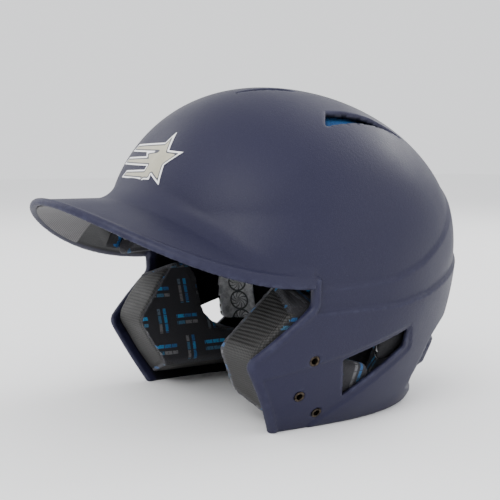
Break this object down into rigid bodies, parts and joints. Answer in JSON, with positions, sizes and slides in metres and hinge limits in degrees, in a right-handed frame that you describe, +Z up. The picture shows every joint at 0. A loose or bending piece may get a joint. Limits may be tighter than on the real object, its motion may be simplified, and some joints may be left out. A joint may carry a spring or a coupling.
{
  "type": "batting helmet",
  "caption": "Two-flap batting helmet with a brim, vented shell, foam liner, fabric pads and threaded guard inserts.",
  "frame": {"origin": "on the floor plane, under the middle of the helmet's width and length", "axes": "+X to the wearer's left, -Y the way the wearer faces, +Z up; the shell's lower rim lies on Z = 0"},
  "size_m": [0.2161, 0.2858, 0.2048],
  "materials": {
    "shell_plastic": "matte slate navy",
    "glare_film": "grey woven-look film",
    "emblem_print": "satin print",
    "numeral_print": "satin white vinyl",
    "insert_brass": "dulled brass",
    "liner_foam": "closed-cell foam, blue",
    "jaw_vinyl": "black woven-look vinyl",
    "ear_panel_print": "grey printed fabric",
    "pad_fabric": "black knit with printed dashes"
  },
  "bodies": {
    "root": {"shell": "shell_plastic", "brim_underside_panel": "glare_film", "front_emblem": "emblem_print", "left_numeral": "numeral_print", "right_numeral": "numeral_print", "guard_inserts": "insert_brass", "front_liner": "liner_foam", "left_liner": "liner_foam", "right_liner": "liner_foam", "rear_liner": "liner_foam", "crown_liner": "liner_foam", "brow_pad": "pad_fabric", "left_temple_pad": "pad_fabric", "right_temple_pad": "pad_fabric", "left_side_pad": "pad_fabric", "right_side_pad": "pad_fabric", "left_rear_pad": "pad_fabric", "right_rear_pad": "pad_fabric", "crown_pad": "pad_fabric", "left_jaw_pad": "jaw_vinyl", "right_jaw_pad": "jaw_vinyl", "left_ear_panel": "ear_panel_print", "right_ear_panel": "ear_panel_print"}
  },
  "joints": []
}
